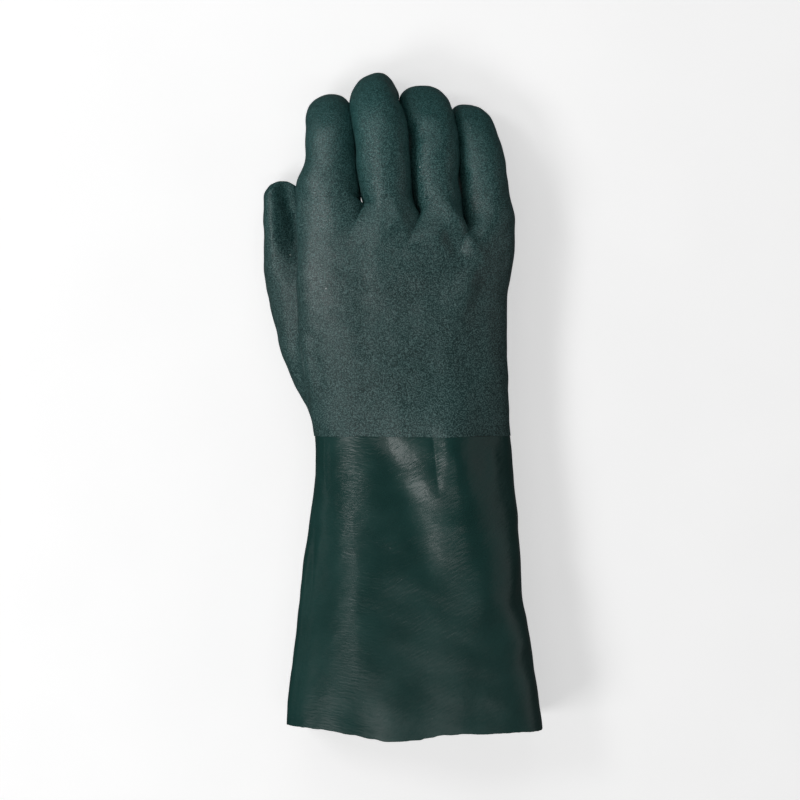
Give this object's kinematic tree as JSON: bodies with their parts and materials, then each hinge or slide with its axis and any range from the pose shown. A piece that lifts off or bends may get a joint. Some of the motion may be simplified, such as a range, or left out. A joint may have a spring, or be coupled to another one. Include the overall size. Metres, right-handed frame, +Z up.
{
  "type": "chemical-resistant glove",
  "caption": "Long coated work glove for the right hand, palm down with curled fingers, a sandy coat on the hand and a smooth flaring gauntlet with a cut hem.",
  "frame": {"origin": "on the table, under the middle of the glove's box", "axes": "+Z up from the table to the back of the hand, +Y towards the fingertips, +X towards the little finger"},
  "size_m": [0.1462, 0.3472, 0.0626],
  "materials": {
    "sandy_pvc": "dark grey-green PVC with a fine sandy grain, matt",
    "smooth_pvc": "dark green PVC, smooth and half glossy, faintly rippled by the knit under it"
  },
  "bodies": {
    "root": {"hand": "sandy_pvc", "gauntlet": "smooth_pvc"}
  },
  "joints": []
}
